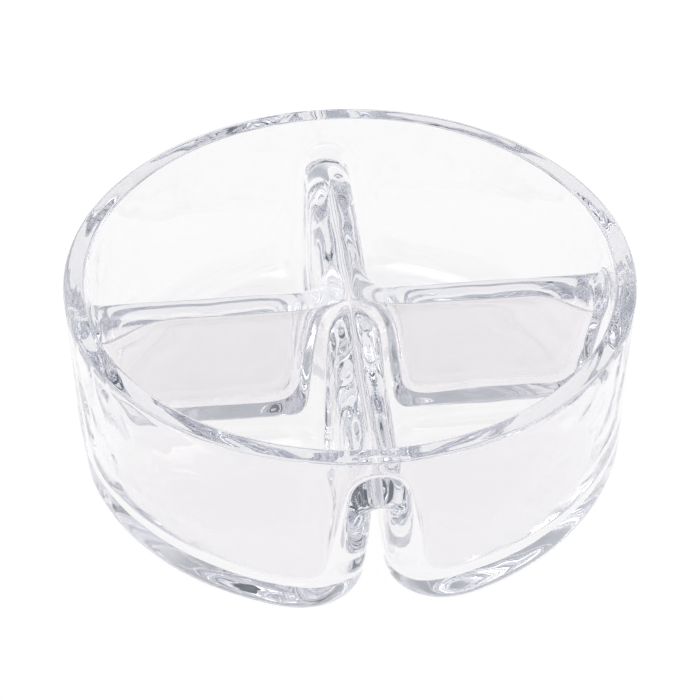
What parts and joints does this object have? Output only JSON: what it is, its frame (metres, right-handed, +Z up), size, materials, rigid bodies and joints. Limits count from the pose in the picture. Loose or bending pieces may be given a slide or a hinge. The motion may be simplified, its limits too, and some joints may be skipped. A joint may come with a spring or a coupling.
{
  "type": "divided serving dish",
  "caption": "Round heavy glass serving dish with four wells between low rounded dividers that are hollow from below.",
  "frame": {"origin": "centre of the circle the dish stands in, on the surface it stands on", "axes": "+Z up out of the dish, +X to the right along one pair of dividers, -Y to the front along the other pair"},
  "size_m": [0.203, 0.203, 0.075],
  "materials": {
    "glass": "clear colourless glass, fire polished, smooth all over"
  },
  "bodies": {
    "root": {"rim": "glass", "back_right_wall": "glass", "back_left_wall": "glass", "front_left_wall": "glass", "front_right_wall": "glass", "back_right_well": "glass", "back_left_well": "glass", "front_left_well": "glass", "front_right_well": "glass", "right_divider": "glass", "back_divider": "glass", "left_divider": "glass", "front_divider": "glass", "divider_hub": "glass"}
  },
  "joints": []
}
